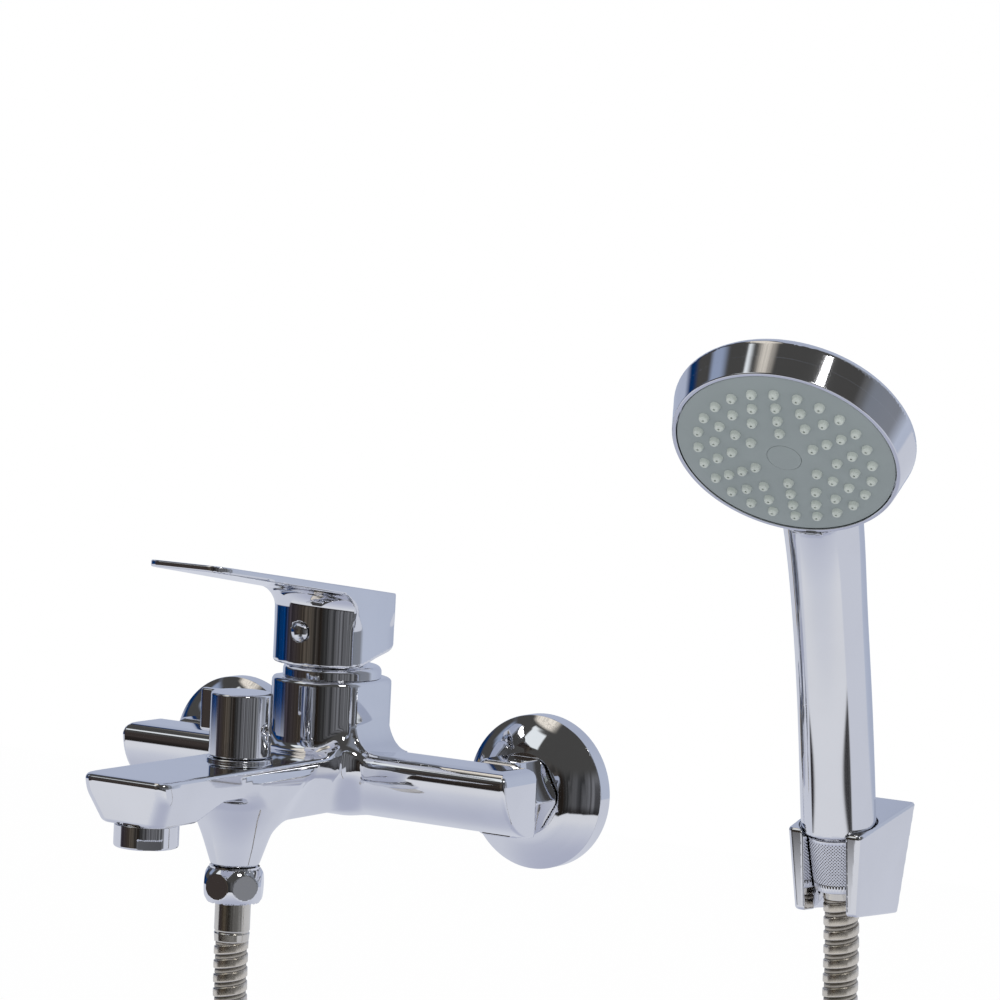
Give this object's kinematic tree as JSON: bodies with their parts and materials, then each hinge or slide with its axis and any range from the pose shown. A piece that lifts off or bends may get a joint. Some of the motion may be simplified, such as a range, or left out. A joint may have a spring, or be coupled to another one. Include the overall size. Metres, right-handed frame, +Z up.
{
  "type": "wall-mounted bath mixer with hand shower",
  "caption": "Wall-mounted single-lever bath mixer with a fixed spout, a shower diverter, a ribbed metal hose and a hand shower in a fork-shaped wall bracket.",
  "frame": {"origin": "midway between the two inlets, on the face of the finished wall", "axes": "+X to the right along the wall as the user sees it, -Y out of the wall towards the user, +Z up"},
  "size_m": [0.3781, 0.1936, 0.4982],
  "materials": {
    "chromed_brass": "mirror polished chrome on brass",
    "chromed_zinc": "mirror polished chrome on die-cast zinc",
    "chromed_plastic": "mirror chrome plating on plastic",
    "raw_brass": "machined",
    "stainless_steel": "polished",
    "steel_hose": "polished, strip wound",
    "cartridge_plastic": "moulded",
    "stem_steel": "machined",
    "ceramic": "lapped",
    "seal_rubber": "moulded",
    "face_grey": "fine satin",
    "nozzle_silicone": "satin",
    "tie_plastic": "moulded"
  },
  "bodies": {
    "fixed": {"mixer_body": "chromed_brass", "left_s_union": "raw_brass", "right_s_union": "raw_brass", "left_escutcheon": "chromed_brass", "right_escutcheon": "chromed_brass", "left_union_nut": "chromed_brass", "right_union_nut": "chromed_brass", "left_tailpiece": "raw_brass", "right_tailpiece": "raw_brass", "inlet_filter_washers": "seal_rubber", "cartridge_shell": "cartridge_plastic", "fixed_disc": "ceramic", "retaining_nut": "raw_brass", "dome_collar": "chromed_brass", "diverter_bush": "chromed_brass", "aerator_housing": "chromed_brass", "aerator_insert": "cartridge_plastic", "aerator_washer": "seal_rubber", "outlet_nipple": "chromed_brass", "outlet_hose_washer": "seal_rubber", "hose_nut": "chromed_brass", "outlet_ferrule": "stainless_steel", "hose_mixer_run": "steel_hose", "hose_coil": "steel_hose", "hose_ties": "tie_plastic", "hose_handset_run": "steel_hose", "bracket_fork": "chromed_plastic"},
    "turret": {"cartridge_guide": "cartridge_plastic"},
    "disc": {"moving_disc": "ceramic", "disc_carrier": "cartridge_plastic"},
    "lever": {"cartridge_stem": "stem_steel", "lever_handle": "chromed_zinc", "lever_screw": "stainless_steel", "lever_plug": "chromed_plastic"},
    "diverter": {"diverter_rotor": "raw_brass", "diverter_knob": "chromed_zinc", "knob_screw": "stainless_steel", "knob_plug": "chromed_plastic"},
    "handset": {"handset_shell": "chromed_plastic", "head_ring": "chromed_plastic", "face_plate": "face_grey", "nozzle_mat": "nozzle_silicone", "center_cap": "chromed_plastic", "face_screw": "stainless_steel", "water_guide": "cartridge_plastic", "head_seal": "seal_rubber", "handset_washer": "seal_rubber", "handset_ferrule": "stainless_steel", "cone_nut": "chromed_brass"}
  },
  "joints": [
    {"name": "lever_swivel", "type": "hinge", "parent": "fixed", "child": "turret", "pos_m": [0, -0.045, 0.04], "axis": [0, 0, 1], "range_deg": [-45, 45]},
    {"name": "lever_lift", "type": "hinge", "parent": "turret", "child": "lever", "pos_m": [0, -0.045, 0.04], "axis": [-1, 0, 0], "range_deg": [0, 20]},
    {"name": "disc_slide", "type": "slide", "parent": "turret", "child": "disc", "axis": [0, -1, 0], "range_m": [0, 0.0036]},
    {"name": "diverter_turn", "type": "hinge", "parent": "fixed", "child": "diverter", "pos_m": [0, -0.1055, 0.02], "axis": [0, 0, 1], "range_deg": [0, 90]},
    {"name": "handset_lift", "type": "slide", "parent": "fixed", "child": "handset", "axis": [0, -0.1822, 0.9833], "range_m": [0, 0.045], "deforming": ["hose_handset_run"]}
  ],
  "couplings": [
    {"joint": "disc_slide", "follows": "lever_lift", "m_per_rad": 0.01}
  ]
}
